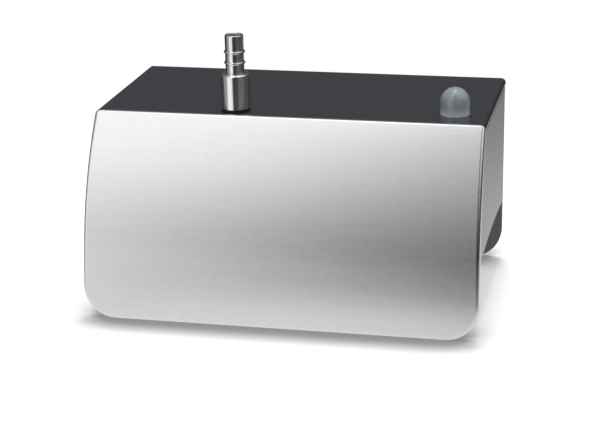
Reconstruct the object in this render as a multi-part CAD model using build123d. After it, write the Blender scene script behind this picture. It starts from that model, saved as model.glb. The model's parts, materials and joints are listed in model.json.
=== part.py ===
from build123d import *
import math
import os

# Remote airborne particle counter. Millimetres; +Z up, -Y to the front, +X to the right as seen from the
# front. The origin is the centre of the footprint, on the surface that the unit stands on.

# ---- Outer form
BODY_WIDTH = 127.0  # over the side walls
TOP_DEPTH = 58.8  # front edge of the top to the back of the rear plate
HEIGHT = 64.6  # standing surface to the top face
VISOR_RADIUS = 83.0  # bend of the visor, seen from the side
TOE_HEIGHT = 23.3  # straight lower stretch of the visor
TOE_ANGLE = 7.0  # lean of that stretch from upright, degrees
VISOR_FLARE = 1.25  # how much wider the visor is at its foot than at its top, each side
FOOT_CORNER = 10.6  # lower corners of the visor
TOP_CORNER = 1.5  # upper corners of the visor
VISOR_SHEET = 0.9
VISOR_RIM = 2.6  # depth of the turned rim
RIM_BEND = 1.1  # outer radius of the turned rim
TOP_LIP = 1.3  # bright lip of the visor in front of the cover

# ---- Fits
SEAM = 0.4  # shadow line between cover and housing
FIT = 0.1  # general clearance
SCREW_FIT = 0.1  # round a shank, in radius
POST_ROOM = 0.6  # between a cover post and what stands beside it

# ---- Cover and housing
COVER_SHEET = 1.2
COVER_EDGE = 1.5  # outer radius of the cover's long edges
COVER_DROP = 2.1  # how far the cover wraps down the sides
GASKET = 0.8
HOUSING_WALL = 2.4
SHADOW_GAP = 0.8  # between the visor's rim and the housing
FLOOR_UNDERSIDE = 23.9
SKIRT_LOW = 21.5  # lower edge of the side skirts at their ends
SKIRT_RISE = 1.9  # arch of that edge
FRONT_WALL_DROP = 6.5  # the front wall stops this far under the top
TRAY_RIM = 3.2  # width of the housing's upper rim, which carries the cover's seal
TRAY_RIM_HEIGHT = 2.5
PAD_FRAME = 5.0  # width of the foam frame behind the visor
PAD_SIDE_INSET = 3.5  # foam frame, in from the side walls
PINHOLE_RADIUS = 0.5
PINHOLE_SIDE = 5.9  # in from the right side wall
PINHOLE_BACK = 9.3  # behind the top's front edge

# ---- Rear plate and its holes
PLATE = 2.0
PLATE_INSET = 0.25  # each side
PLATE_CORNER = 10.8
WALL_BOLT_RADIUS = 2.0
WALL_BOLT_SPAN = 90.0
WALL_BOLT_RISE = 24.0
PLATE_SCREW_SPAN = 60.0
REAR_BOSS_RADIUS = 4.5
REAR_BOSS = 3.0
BOSS_END = 1.0  # metal left at the end of a blind hole

# ---- Screws and nuts
SCREW_RADIUS = 1.4
SCREW_HEAD_RADIUS = 2.8
SCREW_HEAD = 1.8
HEAD_CROWN = 0.9  # rounding of a pan head
SCREW_BITE = 6.0  # thread engaged in the piece that is held
SUNK_HEAD = 1.4
NUT_FLATS = 5.5  # across flats
NUT = 2.4
STUD_RADIUS = 1.45
STUD_FIT = 0.2  # round a stud, in radius
STUD_SIDE = 18.5  # studs, in from the side walls
STUD_MARGIN = 3.5  # between a stud's axis and the foam frame
STUD_END = 0.4  # stud past its nut
SPOT_RADIUS = 4.0
SPOT = 1.0
POST_RADIUS = 3.0
COVER_POST_SIDE = 9.5  # posts, in from the side walls

# ---- Hose barbs
INLET_X = -18.0
INLET_BACK = 7.3  # inlet axis behind the top's front edge
COLLAR_RADIUS = 4.8
COLLAR_HEIGHT = 12.2  # top of the collar above the seat of its ring
TUBE_RADIUS = 3.0
BARB_LENGTH = 12.5
BORE_RADIUS = 2.2
RING_RADIUS = 3.4
RING_WIDTH = 0.95
RING_LOW = 3.4  # lower ring above the collar
RING_PITCH = 3.55
TUBE_LIP = 0.45
COLLAR_CHAMFER = 0.45
BARB_STEM = 3.0
SEAL = 0.4  # height of the ring under a collar
SEAL_INSET = 0.3
INLET_SEAT = 5.0  # inlet stem in the optics block
VACUUM_COLLAR = 4.0
VACUUM_COLLAR_RADIUS = 5.5
VACUUM_STEM = 7.0
VACUUM_NUT_FLATS = 9.0
VACUUM_NUT = 3.0

# ---- Status dome
DOME_SIDE = 11.1  # dome axis, in from the right side wall
DOME_BACK = 12.0  # dome axis behind the top's front edge
DOME_RADIUS = 4.7
DOME_HEIGHT = 8.7
DOME_WALL = 1.2
DOME_NECK = 4.0
RETAINER = 2.0
RETAINER_RADIUS = 6.0
LED_BOARD = 1.2
LED_RADIUS = 1.5
LED_HEIGHT = 6.5

# ---- Optics
POST_LENGTH = 6.7
BLOCK_HALF_WIDTH = 17.0
BLOCK_FRONT = 6.5
BLOCK_REAR = 15.5
BLOCK_HEIGHT = 22.0
BLOCK_CHAMFER = 1.2
BEAM_RISE = 10.0  # beam axis above the block's underside
BEAM_RADIUS = 2.5
FLOW_RADIUS = 1.8  # air path through the optics block
OPTIC_POST_INSET = 5.0
LASER_RADIUS = 6.0
LASER_ROOM = 5.1  # left side wall to the barrel's outer end
LASER_BORE = 4.5
TUBE_SEAT = 3.0
DIODE_FLANGE = 1.2
DIODE_CAN = 2.4
DIODE_LENGTH = 4.2
LASER_BOARD_HALF = 7.0
SMALL_BOARD = 1.2
LENS_EDGE = 1.6
LENS_CROWN = 0.8
STOP_LENGTH = 9.0
TRAP_TIP = 1.2  # radius at the bottom of the beam stop's cone
MIRROR_RADIUS = 5.5
MIRROR_THICKNESS = 2.5
MIRROR_DEPTH = 1.0  # of its dish
SENSOR_RADIUS = 4.0
SENSOR = 2.5
DETECTOR_HALF = 10.0
SHIELD_HALF = 8.0
SHIELD_DEPTH = 6.0
SHIELD_SHEET = 0.4
NOZZLE_SEAT = 3.0
NOZZLE_TAIL = 1.2
NOZZLE_JET = 0.6
SLEEVE_WALL = 1.2

# ---- Boards and sockets
BOARD = 1.6
BOARD_SIDE = 14.5  # board's right edge, in from the right side wall
BOARD_WIDTH = 37.0
BOARD_DEPTH = 48.0
BOARD_BACK = 9.0  # board's rear edge, in from the rear plane
BOARD_HOLE_INSET = 3.5
BOARD_BITE = 3.0  # board screws in their standoffs
STANDOFF_FLATS = 5.0
JACK_PROUD = 0.2  # socket mouth below the floor
JACK_HEIGHT = 16.0
JACK_ROOM = 0.25  # floor cut-out round a socket
JACK_ROW_FRONT = 21.0  # both sockets behind the board's front edge
NETWORK_JACK = (16.0, 13.4)
NETWORK_MOUTH = (11.8, 7.0, 12.0)
NETWORK_LATCH = 6.1  # width
NETWORK_CONTACTS = 8
SERVICE_JACK = (13.2, 12.6)
SERVICE_MOUTH = (9.8, 6.8, 11.0)
SERVICE_LATCH = 5.1  # width
SERVICE_CONTACTS = 6
SERVICE_SIDE = 7.0  # service socket's axis, in from the board's right edge
JACK_PITCH = 18.0
LATCH_DEPTH = 1.9
CONTACT = 0.35
CONTACT_PITCH = 1.02
CONTACT_RUN = 7.0
CHIP_HEIGHT = 1.6
CHIP_BEVEL = 0.4
# Each chip: x and y from the board's centre, width, depth
CHIPS = ((0, 6, 14, 14), (-9.5, -8, 9, 6), (8, -9, 8, 8), (-3, 19, 10, 5))
CAN_RADIUS = 4.0
CAN_HEIGHT = 10.0
CAN_CROWN = 0.7
CANS = ((7, 18), (13.5, 4))  # x, y from the board's centre

# ---- Derived datums
toe = math.radians(TOE_ANGLE)
top_lean = math.asin(math.sin(toe) + (HEIGHT - TOE_HEIGHT) / VISOR_RADIUS)
visor_reach = VISOR_RADIUS * (math.cos(toe) - math.cos(top_lean)) + TOE_HEIGHT * math.tan(toe)
rear_y = (TOP_DEPTH + visor_reach) / 2
top_edge_y = rear_y - TOP_DEPTH
bend_y = top_edge_y + VISOR_RADIUS * math.cos(top_lean)
bend_z = HEIGHT - VISOR_RADIUS * math.sin(top_lean)

half_width = BODY_WIDTH / 2
body_inset = VISOR_RIM + SHADOW_GAP
plate_face = rear_y - PLATE
cover_under = HEIGHT - COVER_SHEET
cover_front = top_edge_y + TOP_LIP
side_top = HEIGHT - COVER_DROP - SEAM
lip_half = half_width - COVER_SHEET - FIT
lip_top = cover_under - GASKET
inner_half = half_width - HOUSING_WALL
inner_rear = plate_face - HOUSING_WALL
floor_top = FLOOR_UNDERSIDE + HOUSING_WALL
front_wall_top = HEIGHT - FRONT_WALL_DROP
inlet_y = top_edge_y + INLET_BACK
dome_x = half_width - DOME_SIDE
dome_y = top_edge_y + DOME_BACK
pinhole_x = half_width - PINHOLE_SIDE
pinhole_y = top_edge_y + PINHOLE_BACK
block_low = floor_top + POST_LENGTH
block_top = block_low + BLOCK_HEIGHT
beam_z = block_low + BEAM_RISE
block_left = INLET_X - BLOCK_HALF_WIDTH
block_right = INLET_X + BLOCK_HALF_WIDTH
block_front = inlet_y - BLOCK_FRONT
block_rear = inlet_y + BLOCK_REAR
laser_end = LASER_ROOM - inner_half
laser_length = block_left + TUBE_SEAT - laser_end
board_low = FLOOR_UNDERSIDE - JACK_PROUD + JACK_HEIGHT
board_top = board_low + BOARD
board_right = half_width - BOARD_SIDE
board_left = board_right - BOARD_WIDTH
board_rear = rear_y - BOARD_BACK
board_front = board_rear - BOARD_DEPTH
jack_y = board_front + JACK_ROW_FRONT
service_x = board_right - SERVICE_SIDE
network_x = service_x - JACK_PITCH
front_post_y = dome_y + RETAINER_RADIUS + POST_ROOM + POST_RADIUS
rear_post_y = inner_rear - REAR_BOSS - POST_ROOM - POST_RADIUS
hole_radius = SCREW_RADIUS + SCREW_FIT
beyond = 2 * HEIGHT  # longer than anything that is cut

RIGHT = (1, 0, 0)
LEFT = (-1, 0, 0)
BACK = (0, 1, 0)
FRONT = (0, -1, 0)
UP = (0, 0, 1)
DOWN = (0, 0, -1)
FROM_BASE = (Align.CENTER, Align.CENTER, Align.MIN)


# ---- Shared forms
def slab(x, y, z):
    """A box given by its low and high limit along each axis."""
    centre = [(limits[0] + limits[1]) / 2 for limits in (x, y, z)]
    return Pos(*centre) * Box(x[1] - x[0], y[1] - y[0], z[1] - z[0])


def rod(start, direction, radius, length):
    """A round bar that begins at a point and runs along a direction."""
    return Plane(origin=start, z_dir=direction) * Cylinder(radius, length, align=FROM_BASE)


def hex_bar(start, direction, flats, length):
    """A hexagonal bar, by its size across flats."""
    outline = RegularPolygon(flats / 2, 6, major_radius=False)
    return Plane(origin=start, z_dir=direction) * extrude(outline, length)


def four_corners(centre, spans):
    """The corners of a rectangle, as pairs."""
    return [(centre[0] + i * spans[0] / 2, centre[1] + j * spans[1] / 2) for i in (-1, 1) for j in (-1, 1)]


def front_y(z, inset=0.0):
    """Where the visor's outer face lies at a height, moved inwards by an inset."""
    radius = VISOR_RADIUS - inset
    bend_start = bend_z + radius * math.sin(toe)
    if z > bend_start:
        return bend_y - math.sqrt(radius**2 - (z - bend_z) ** 2)
    return bend_y - radius * math.cos(toe) - (bend_start - z) * math.tan(toe)


def behind_visor(inset, low, high, back, half):
    """Solid from the visor's side profile, moved inwards by an inset, back to a plane."""
    radius = VISOR_RADIUS - inset
    start = max(low, bend_z + radius * math.sin(toe))
    middle = (start + high) / 2
    foot = (front_y(low, inset), low)
    outline = ThreePointArc(*((front_y(z, inset), z) for z in (start, middle, high)))
    outline += Polyline((front_y(high, inset), high), (back, high), (back, low), foot)
    if low < start:
        outline += Line(foot, (front_y(start, inset), start))
    return extrude(Plane.YZ * make_face(outline), amount=half, both=True)


def inward(x, z):
    """A plane on the visor's outer face whose normal points into the unit."""
    rise = (z - bend_z) / VISOR_RADIUS
    return Plane(origin=(x, front_y(z), z), x_dir=RIGHT, z_dir=(0, math.sqrt(1 - rise**2), -rise))


def through_visor(x, z, start, radius, length):
    """A round bar square to the visor that begins a given depth behind its outer face."""
    return inward(x, z) * Pos(0, 0, start) * Cylinder(radius, length, align=FROM_BASE)


def pan_screw(start, direction, grip):
    """A pan-head screw with its head's underside at a point and its shank along a direction."""
    toward_head = tuple(-value for value in direction)
    head = rod(start, toward_head, SCREW_HEAD_RADIUS, SCREW_HEAD)
    crown = head.edges().group_by(lambda edge: edge.center().dot(Vector(*direction)))[0]
    return fillet(crown, HEAD_CROWN) + rod(start, direction, SCREW_RADIUS, grip)


# ---- Visor
stud_low = floor_top + PAD_FRAME + STUD_MARGIN
stud_high = front_wall_top - PAD_FRAME - STUD_MARGIN
stud_spans = (BODY_WIDTH - 2 * STUD_SIDE, stud_high - stud_low)
stud_places = four_corners((0, (stud_low + stud_high) / 2), stud_spans)
nut_seat = body_inset + HOUSING_WALL + SPOT


def visor_outline(skin):
    """The visor seen from the front, shrunk by a skin, as a prism through the unit."""
    taper = VISOR_FLARE / HEIGHT
    top_half = half_width + taper * skin - skin
    foot_half = half_width + VISOR_FLARE - taper * skin - skin
    corners = ((top_half, HEIGHT - skin), (foot_half, skin), (-foot_half, skin), (-top_half, HEIGHT - skin))
    outline = Polygon(*corners, align=None)
    foot = outline.vertices().sort_by(Axis.Y)[:2]
    outline = fillet(foot, FOOT_CORNER - skin)
    top = outline.vertices().sort_by(Axis.Y)[-2:]
    outline = fillet(top, TOP_CORNER - skin)
    return extrude(Plane.XZ * outline, amount=beyond, both=True)


def visor_layer(skin, depth):
    """The curved layer from one inset to another, within the visor's outline."""
    back = bend_y
    wide = half_width + 2 * VISOR_FLARE
    outer = behind_visor(skin, 0, HEIGHT, back, wide)
    inner = behind_visor(depth, -VISOR_RIM, HEIGHT + VISOR_RIM, back, 2 * wide)
    return (outer - inner) & visor_outline(skin)


def is_front(face):
    """True for the faces that belong to the visor's outer surface."""
    middle = face.position_at(0.5, 0.5)
    return abs(middle.Y - front_y(middle.Z)) < FIT


def front_visor():
    """Pressed sheet with a turned rim, and the studs welded to its back."""
    blank = visor_layer(0, VISOR_RIM)
    fronts = [face for face in blank.faces() if is_front(face)]
    ends = [edge for face in fronts for edge in face.edges()]
    rim = [edge for edge in ends if sum(edge.is_same(other) for other in ends) == 1]
    pan = fillet(rim, RIM_BEND) - visor_layer(VISOR_SHEET, VISOR_RIM + FIT)
    notch_low = HEIGHT - COVER_DROP - FIT
    pan -= slab((-beyond, beyond), (cover_front - FIT, beyond), (notch_low, beyond))
    stud_length = nut_seat + NUT + STUD_END - VISOR_SHEET / 2
    for x, z in stud_places:
        pan += through_visor(x, z, VISOR_SHEET / 2, STUD_RADIUS, stud_length)
    return pan


def visor_pad():
    """Foam frame between the visor and the housing."""
    outer_half = half_width - PAD_SIDE_INSET
    low = floor_top
    high = side_top
    frame = behind_visor(VISOR_SHEET + FIT / 2, low, high, bend_y, outer_half)
    frame -= behind_visor(body_inset - FIT / 2, low - FIT, high + FIT, 2 * bend_y, beyond)
    window_half = outer_half - PAD_FRAME
    frame -= slab((-window_half, window_half), (-beyond, beyond), (low + PAD_FRAME, high - PAD_FRAME))
    return frame


def visor_nuts():
    """Nuts on the studs, seated on the spot faces inside the housing."""
    nuts = []
    for x, z in stud_places:
        outline = RegularPolygon(NUT_FLATS / 2, 6, major_radius=False) - Circle(STUD_RADIUS + SCREW_FIT)
        nuts.append(inward(x, z) * Pos(0, 0, nut_seat) * extrude(outline, NUT))
    return Compound(children=nuts)


# ---- Housing, cover and rear plate
wall_bolts = four_corners((0, (floor_top + lip_top) / 2), (WALL_BOLT_SPAN, WALL_BOLT_RISE))
plate_screw_places = four_corners((0, (floor_top + lip_top) / 2), (PLATE_SCREW_SPAN, WALL_BOLT_RISE))
cover_post_spans = (BODY_WIDTH - 2 * COVER_POST_SIDE, rear_post_y - front_post_y)
cover_post_places = four_corners((0, (front_post_y + rear_post_y) / 2), cover_post_spans)
optic_span = 2 * (BLOCK_HALF_WIDTH - OPTIC_POST_INSET)
optic_run = block_rear - block_front - 2 * OPTIC_POST_INSET
optic_places = four_corners((INLET_X, (block_front + block_rear) / 2), (optic_span, optic_run))
board_middle = ((board_left + board_right) / 2, (board_front + board_rear) / 2)
board_spans = (BOARD_WIDTH - 2 * BOARD_HOLE_INSET, BOARD_DEPTH - 2 * BOARD_HOLE_INSET)
board_places = four_corners(board_middle, board_spans)
floor_places = cover_post_places + optic_places + board_places
blind_depth = PLATE + HOUSING_WALL + REAR_BOSS - BOSS_END


def sunk_screw(x, z, extra):
    """A countersunk screw from the rear face, or the hole for it when extra is its clearance."""
    shank = rod((x, rear_y, z), FRONT, SCREW_RADIUS + extra, blind_depth - FIT + extra)
    cone = Cone(SCREW_HEAD_RADIUS + extra, SCREW_RADIUS + extra, SUNK_HEAD, align=FROM_BASE)
    return shank + Plane(origin=(x, rear_y, z), z_dir=FRONT) * cone


def jack_prism(x, size, low, high, room=0.0):
    """The square outline of a socket between two heights."""
    half_x, half_y = size[0] / 2 + room, size[1] / 2 + room
    return slab((x - half_x, x + half_x), (jack_y - half_y, jack_y + half_y), (low, high))


def housing():
    """Open-topped tray that follows the visor, with skirts beside the hose space."""
    tray = behind_visor(body_inset, SKIRT_LOW, side_top, plate_face, half_width)
    lip = behind_visor(body_inset, SKIRT_LOW, lip_top, plate_face, lip_half)
    tray += fillet(lip.edges().filter_by(Axis.Y).group_by(Axis.Z)[-1], COVER_EDGE - COVER_SHEET)
    inside = body_inset + HOUSING_WALL
    tray -= behind_visor(inside, floor_top, lip_top - TRAY_RIM_HEIGHT, inner_rear, inner_half)
    tray -= behind_visor(inside, floor_top, lip_top + SEAM, inner_rear, lip_half - TRAY_RIM)
    tray -= slab((-inner_half, inner_half), (-beyond, beyond), (0, FLOOR_UNDERSIDE))
    front_end = (front_y(SKIRT_LOW, body_inset), SKIRT_LOW)
    rear_end = (plate_face, SKIRT_LOW)
    crown = ((front_end[0] + plate_face) / 2, SKIRT_LOW + SKIRT_RISE)
    arch = ThreePointArc(front_end, crown, rear_end) + Line(rear_end, front_end)
    tray -= extrude(Plane.YZ * make_face(arch), amount=beyond, both=True)
    tray -= slab((-inner_half, inner_half), (-beyond, inlet_y), (front_wall_top, beyond))
    for x, z in wall_bolts + plate_screw_places:
        tray += rod((x, inner_rear, z), FRONT, REAR_BOSS_RADIUS, REAR_BOSS)
    for x, z in wall_bolts:
        tray -= rod((x, rear_y, z), FRONT, WALL_BOLT_RADIUS, blind_depth)
    for x, z in plate_screw_places:
        tray -= sunk_screw(x, z, SCREW_FIT)
    for x, z in stud_places:
        wall_middle = body_inset + HOUSING_WALL / 2
        tray += through_visor(x, z, wall_middle, SPOT_RADIUS, nut_seat - wall_middle)
        tray -= through_visor(x, z, 0, STUD_RADIUS + STUD_FIT, nut_seat + NUT)
    for x, y in floor_places:
        tray -= rod((x, y, 0), UP, hole_radius + SCREW_FIT, floor_top + FIT)
    tray -= rod((INLET_X, inlet_y, 0), UP, BARB_STEM + FIT, floor_top + FIT)
    for x, size in ((network_x, NETWORK_JACK), (service_x, SERVICE_JACK)):
        tray -= jack_prism(x, size, 0, floor_top + FIT, JACK_ROOM)
    return tray


def top_cover():
    """Bent sheet with rounded long edges that wraps a little way down both sides."""
    low = HEIGHT - COVER_DROP
    outer = Plane.XZ * Pos(0, low) * Rectangle(BODY_WIDTH, COVER_DROP, align=(Align.CENTER, Align.MIN))
    outer = extrude(outer, amount=-beyond, both=True)
    outer = fillet(outer.edges().filter_by(Axis.Y).group_by(Axis.Z)[-1], COVER_EDGE)
    inside_half = half_width - COVER_SHEET
    inside = slab((-inside_half, inside_half), (-2 * beyond, 2 * beyond), (low - COVER_DROP, cover_under))
    inside = fillet(inside.edges().filter_by(Axis.Y).group_by(Axis.Z)[-1], COVER_EDGE - COVER_SHEET)
    cover = (outer - inside) & slab((-beyond, beyond), (cover_front, rear_y), (0, beyond))
    cover -= rod((INLET_X, inlet_y, low), UP, BARB_STEM + FIT, beyond)
    cover -= rod((dome_x, dome_y, low), UP, DOME_NECK + FIT, beyond)
    cover -= rod((pinhole_x, pinhole_y, low), UP, PINHOLE_RADIUS, beyond)
    return cover


def cover_gasket():
    """Flat seal on the housing's side and rear walls, under the cover."""
    limit = lip_half - (COVER_EDGE - COVER_SHEET)
    outer = slab((-limit, limit), (inlet_y, plate_face), (lip_top, cover_under))
    inner_side = lip_half - TRAY_RIM
    return outer - slab((-inner_side, inner_side), (-beyond, inner_rear), (0, beyond))


def cover_posts():
    """Threaded posts from the housing's floor to the cover."""
    posts = []
    for x, y in cover_post_places:
        post = rod((x, y, floor_top), UP, POST_RADIUS, cover_under - floor_top)
        posts.append(post - rod((x, y, floor_top), UP, hole_radius, SCREW_BITE + FIT))
    return Compound(children=posts)


def floor_screws():
    """Screws from below into the cover's posts, the optics block and the board's standoffs."""
    screws = []
    for x, y in floor_places:
        extra = POST_LENGTH if (x, y) in optic_places else 0
        screws.append(pan_screw((x, y, FLOOR_UNDERSIDE), UP, HOUSING_WALL + extra + SCREW_BITE))
    return Compound(children=screws)


def rear_plate():
    """Full-height plate with rounded lower corners."""
    plate_half = half_width - PLATE_INSET
    plate = slab((-plate_half, plate_half), (plate_face, rear_y), (0, cover_under))
    upright = plate.edges().filter_by(Axis.Y)
    plate = fillet(upright.group_by(Axis.Z)[0], PLATE_CORNER)
    for side in (-1, 1):
        flange = sorted((side * (half_width - COVER_SHEET - FIT), side * beyond))
        plate -= slab(flange, (plate_face, rear_y), (side_top, beyond))
    plate = fillet(plate.edges().filter_by(Axis.Y).group_by(Axis.Z)[-1], COVER_EDGE - COVER_SHEET)
    for x, z in wall_bolts:
        plate -= rod((x, rear_y, z), FRONT, WALL_BOLT_RADIUS, PLATE)
    for x, z in plate_screw_places:
        plate -= sunk_screw(x, z, SCREW_FIT)
    return plate


def plate_screws():
    """Countersunk screws that hold the rear plate to the housing."""
    return Compound(children=[sunk_screw(x, z, 0) for x, z in plate_screw_places])


# ---- Air path
def turned_barb(collar_radius, collar_height, stem):
    """Turned hose barb on its own axis: the collar's seat at zero, the stem below, two hose rings above."""
    foot = collar_height
    top = foot + BARB_LENGTH
    chamfer = COLLAR_CHAMFER
    outline = Polyline(
        (TUBE_RADIUS, foot), (collar_radius - chamfer, foot), (collar_radius, foot - chamfer),
        (collar_radius, SEAL + chamfer), (collar_radius - chamfer, SEAL), (BARB_STEM, SEAL),
        (BARB_STEM, -stem), (BORE_RADIUS, -stem), (BORE_RADIUS, top - TUBE_LIP / 2),
        (BORE_RADIUS + TUBE_LIP / 2, top), (TUBE_RADIUS - TUBE_LIP, top),
    )
    outline += ThreePointArc(
        (TUBE_RADIUS - TUBE_LIP, top),
        (TUBE_RADIUS - TUBE_LIP * (1 - math.sqrt(0.5)), top - TUBE_LIP * (1 - math.sqrt(0.5))),
        (TUBE_RADIUS, top - TUBE_LIP),
    )
    at = top - TUBE_LIP
    for ring in (foot + RING_LOW + RING_PITCH, foot + RING_LOW):
        high, low = ring + RING_WIDTH / 2, ring - RING_WIDTH / 2
        outline += Line((TUBE_RADIUS, at), (TUBE_RADIUS, high))
        outline += ThreePointArc((TUBE_RADIUS, high), (RING_RADIUS, ring), (TUBE_RADIUS, low))
        at = low
    outline += Line((TUBE_RADIUS, at), (TUBE_RADIUS, foot))
    return revolve(Plane.XZ * make_face(outline), Axis.Z)


def inlet_barb():
    """Sample inlet on the top cover; its stem runs down into the optics block."""
    barb = turned_barb(COLLAR_RADIUS, COLLAR_HEIGHT, HEIGHT - block_top + INLET_SEAT)
    return Pos(INLET_X, inlet_y, HEIGHT) * barb


def seal_ring(x, y, z, direction, collar_radius):
    """Squeezed ring under a collar."""
    ring = rod((x, y, z), direction, collar_radius - SEAL_INSET, SEAL)
    ring = fillet(ring.edges(), SEAL / 2 - FIT)
    return ring - rod((x, y, z), direction, BARB_STEM + FIT, SEAL)


def vacuum_barb():
    """Vacuum outlet under the floor, in line with the inlet."""
    barb = turned_barb(VACUUM_COLLAR_RADIUS, VACUUM_COLLAR, VACUUM_STEM)
    return Pos(INLET_X, inlet_y, FLOOR_UNDERSIDE) * Rot(180, 0, 0) * barb


def vacuum_nut():
    """Nut on the vacuum stem, inside the housing."""
    nut = hex_bar((INLET_X, inlet_y, floor_top), UP, VACUUM_NUT_FLATS, VACUUM_NUT)
    return nut - rod((INLET_X, inlet_y, floor_top), UP, BARB_STEM + FIT, VACUUM_NUT)


def outlet_nozzle():
    """Brass flow orifice in the floor of the optics block."""
    low = block_low - NOZZLE_TAIL
    nozzle = rod((INLET_X, inlet_y, low), UP, BARB_STEM, NOZZLE_TAIL + NOZZLE_SEAT)
    return nozzle - rod((INLET_X, inlet_y, low), UP, NOZZLE_JET, NOZZLE_TAIL + NOZZLE_SEAT)


def outlet_sleeve():
    """Soft sleeve that joins the orifice to the vacuum stem."""
    low = floor_top + VACUUM_NUT
    sleeve = rod((INLET_X, inlet_y, low), UP, BARB_STEM + FIT + SLEEVE_WALL, block_low - low)
    return sleeve - rod((INLET_X, inlet_y, low), UP, BARB_STEM + FIT, block_low - low)


# ---- Status dome
def status_dome():
    """Hollow frosted dome whose neck passes through the cover."""
    spring = DOME_HEIGHT - DOME_RADIUS
    inside = DOME_RADIUS - DOME_WALL
    neck_low = -COVER_SHEET - RETAINER
    outside_half, inside_half = DOME_RADIUS * math.sqrt(0.5), inside * math.sqrt(0.5)
    outline = ThreePointArc((DOME_RADIUS, spring), (outside_half, spring + outside_half), (0, DOME_HEIGHT))
    outline += Line((0, DOME_HEIGHT), (0, DOME_HEIGHT - DOME_WALL))
    outline += ThreePointArc((0, spring + inside), (inside_half, spring + inside_half), (inside, spring))
    outline += Polyline(
        (inside, spring), (inside, 0), (DOME_NECK - DOME_WALL / 2, 0), (DOME_NECK - DOME_WALL / 2, neck_low),
        (DOME_NECK, neck_low), (DOME_NECK, 0), (DOME_RADIUS, 0), (DOME_RADIUS, spring),
    )
    return Pos(dome_x, dome_y, HEIGHT) * revolve(Plane.XZ * make_face(outline), Axis.Z)


def dome_retainer():
    """Push-on ring that holds the dome from below the cover."""
    low = cover_under - RETAINER
    ring = rod((dome_x, dome_y, low), UP, RETAINER_RADIUS, RETAINER)
    return ring - rod((dome_x, dome_y, low), UP, DOME_NECK + FIT, RETAINER)


def led_board():
    """Round board under the dome."""
    return rod((dome_x, dome_y, cover_under - RETAINER - LED_BOARD), UP, RETAINER_RADIUS, LED_BOARD)


def status_led():
    """Light-emitting diode that stands inside the dome."""
    led = rod((dome_x, dome_y, cover_under - RETAINER), UP, LED_RADIUS, LED_HEIGHT)
    return fillet(led.edges().group_by(Axis.Z)[-1], LED_RADIUS - FIT)


# ---- Optics
def optics_block():
    """Machined sensing chamber: air path upright, beam across, detector from the rear."""
    block = slab((block_left, block_right), (block_front, block_rear), (block_low, block_top))
    block = chamfer(block.edges().filter_by(Axis.Z), BLOCK_CHAMFER)
    block -= rod((INLET_X, inlet_y, block_low), UP, FLOW_RADIUS, BLOCK_HEIGHT)
    block -= rod((INLET_X, inlet_y, block_top), DOWN, BARB_STEM + FIT / 2, INLET_SEAT)
    block -= rod((INLET_X, inlet_y, block_low), UP, BARB_STEM + FIT / 2, NOZZLE_SEAT)
    block -= rod((block_left, inlet_y, beam_z), RIGHT, BEAM_RADIUS, 2 * BLOCK_HALF_WIDTH)
    for face_x, direction in ((block_left, RIGHT), (block_right, LEFT)):
        block -= rod((face_x, inlet_y, beam_z), direction, LASER_RADIUS + FIT / 2, TUBE_SEAT)
    block -= rod((INLET_X, block_rear, beam_z), FRONT, SENSOR_RADIUS + FIT / 2, block_rear - inlet_y)
    block -= rod((INLET_X, block_front, beam_z), BACK, MIRROR_RADIUS + FIT / 2, MIRROR_THICKNESS + FIT)
    for x, y in optic_places:
        block -= rod((x, y, block_low), UP, hole_radius, SCREW_BITE + FIT)
    return block


def optics_posts():
    """Spacers between the housing's floor and the optics block."""
    posts = []
    for x, y in optic_places:
        post = rod((x, y, floor_top), UP, POST_RADIUS, POST_LENGTH)
        posts.append(post - rod((x, y, floor_top), UP, hole_radius + SCREW_FIT, POST_LENGTH))
    return Compound(children=posts)


def laser_tube():
    """Barrel that holds the laser diode and its lens."""
    tube = rod((laser_end, inlet_y, beam_z), RIGHT, LASER_RADIUS, laser_length)
    tube = chamfer(tube.edges().group_by(Axis.X)[0], TUBE_LIP)
    return tube - rod((laser_end, inlet_y, beam_z), RIGHT, LASER_BORE, laser_length)


def laser_diode():
    """Flanged can at the outer end of the barrel."""
    flange = rod((laser_end, inlet_y, beam_z), RIGHT, LASER_BORE - FIT, DIODE_FLANGE)
    return flange + rod((laser_end, inlet_y, beam_z), RIGHT, DIODE_CAN, DIODE_LENGTH)


def focus_lens():
    """Lens with two crowned faces near the inner end of the barrel."""
    half_edge = LENS_EDGE / 2
    rim = LASER_BORE - FIT
    outline = ThreePointArc((-rim, half_edge), (0, half_edge + LENS_CROWN), (rim, half_edge))
    outline += Line((rim, half_edge), (rim, -half_edge))
    outline += ThreePointArc((rim, -half_edge), (0, -half_edge - LENS_CROWN), (-rim, -half_edge))
    outline += Line((-rim, -half_edge), (-rim, half_edge))
    half = make_face(outline) & Pos(rim / 2, 0) * Rectangle(rim, 2 * rim)
    lens = revolve(half, Axis.Y)
    return Pos(block_left - LENS_EDGE, inlet_y, beam_z) * Rot(0, 0, 90) * lens


def laser_board():
    """Driver board on the diode's pins."""
    y_limits = inlet_y - LASER_BOARD_HALF, inlet_y + LASER_BOARD_HALF
    z_limits = beam_z - LASER_BOARD_HALF, beam_z + LASER_BOARD_HALF
    return slab((laser_end - SMALL_BOARD, laser_end), y_limits, z_limits)


def beam_stop():
    """Cup with a conical trap on the far side of the chamber."""
    mouth = block_right - TUBE_SEAT
    cup = rod((mouth, inlet_y, beam_z), RIGHT, LASER_RADIUS, STOP_LENGTH)
    cup = chamfer(cup.edges().group_by(Axis.X)[-1], TUBE_LIP)
    trap = Cone(LASER_BORE, TRAP_TIP, STOP_LENGTH - BOSS_END, align=FROM_BASE)
    return cup - Plane(origin=(mouth, inlet_y, beam_z), z_dir=RIGHT) * trap


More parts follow.
